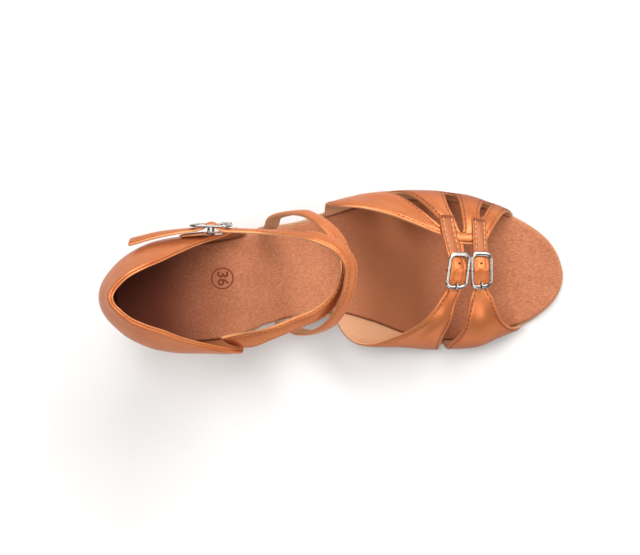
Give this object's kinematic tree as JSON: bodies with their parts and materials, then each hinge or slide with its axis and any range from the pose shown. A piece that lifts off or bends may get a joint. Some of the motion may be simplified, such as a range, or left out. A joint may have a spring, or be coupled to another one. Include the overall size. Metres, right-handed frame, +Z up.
{
  "type": "ballroom dance shoe",
  "caption": "Open-toe ballroom sandal for the left foot: satin bands, crossed ankle straps with buckles, suede foot bed and flared heel.",
  "frame": {"origin": "centre of the heel's top piece, on the floor", "axes": "+X from the heel to the toe, +Y to the little-toe side, +Z up"},
  "size_m": [0.2268, 0.0815, 0.1098],
  "materials": {
    "satin": "tan satin cloth, turned and stitched edges",
    "insole_suede": "fine short-nap tan foot bed",
    "outsole_suede": "brushed suede sole",
    "heel_rubber": "matte moulded",
    "buckle_metal": "polished plated wire"
  },
  "bodies": {
    "root": {"outsole": "outsole_suede", "insole": "insole_suede", "heel_block": "satin", "heel_top_piece": "heel_rubber", "heel_counter": "satin", "vamp_lateral": "satin", "vamp_medial": "satin", "instep_strap": "satin", "ankle_strap": "satin", "ankle_buckle_tab": "satin", "ankle_buckle_frame": "buckle_metal", "ankle_buckle_prong": "buckle_metal", "vamp_buckle_rear_frame": "buckle_metal", "vamp_buckle_rear_prong": "buckle_metal", "vamp_buckle_front_frame": "buckle_metal", "vamp_buckle_front_prong": "buckle_metal"}
  },
  "joints": []
}
